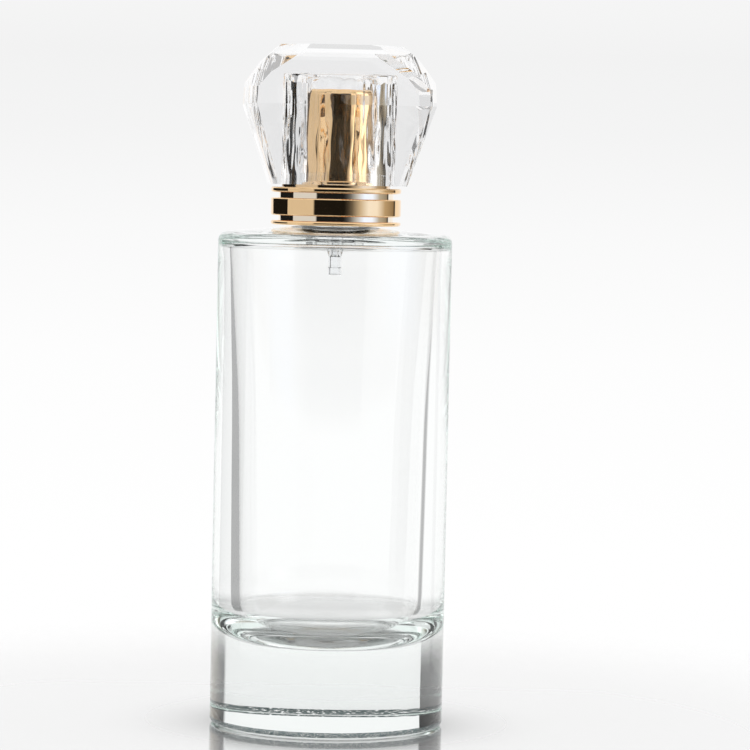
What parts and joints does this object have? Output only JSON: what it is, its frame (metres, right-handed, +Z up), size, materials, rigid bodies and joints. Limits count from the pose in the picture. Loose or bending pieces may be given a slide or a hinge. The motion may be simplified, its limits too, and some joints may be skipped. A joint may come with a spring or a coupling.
{
  "type": "perfume bottle",
  "caption": "Clear cylindrical glass perfume bottle with a gold ringed collar, gold spray button on a crimped pump, and a faceted clear lift-off cap.",
  "frame": {"origin": "centre of the foot, on the surface it stands on", "axes": "+Z up the bottle's axis, -Y the front, +Y the way the spray leaves"},
  "size_m": [0.05, 0.05, 0.1449],
  "materials": {
    "clear_glass": "polished flint glass",
    "clear_acrylic": "polished facets",
    "clear_plastic": "natural moulded plastic",
    "gold_collar": "bright gold anodised, grooves bright cut",
    "gold_shell": "bright gold anodised",
    "bare_aluminium": "bright",
    "steel": "bright stainless",
    "white_plastic": "moulded",
    "gasket_rubber": "soft"
  },
  "bodies": {
    "bottle": {"glass_bottle": "clear_glass", "neck_gasket": "gasket_rubber", "crimp_ferrule": "bare_aluminium", "collar_insert": "white_plastic", "collar_shell": "gold_collar", "pump_housing": "clear_plastic", "return_spring": "steel", "stem_seal": "gasket_rubber", "stem_bushing": "white_plastic"},
    "ball": {"inlet_ball": "steel"},
    "pump_rod": {"outlet_valve": "white_plastic", "piston": "white_plastic", "stem": "white_plastic"},
    "button": {"actuator_core": "white_plastic", "nozzle_insert": "white_plastic", "actuator_shell": "gold_shell"},
    "cap": {"faceted_cap": "clear_acrylic", "cap_liner": "clear_plastic"}
  },
  "joints": [
    {"name": "spray_press", "type": "slide", "parent": "bottle", "child": "pump_rod", "axis": [0, 0, -1], "range_m": [0, 0.004], "stiffness_N_per_m": 1200, "springref_m": -0.004, "deforming": ["return_spring"]},
    {"name": "button_turn", "type": "hinge", "parent": "pump_rod", "child": "button", "pos_m": [0, 0, 0.125], "axis": [0, 0, 1], "continuous": true},
    {"name": "inlet_lift", "type": "slide", "parent": "bottle", "child": "ball", "axis": [0, 0, 1], "range_m": [0, 0.0005]},
    {"name": "cap_lift", "type": "slide", "parent": "bottle", "child": "cap", "axis": [0, 0, 1], "range_m": [0, 0.03]}
  ]
}
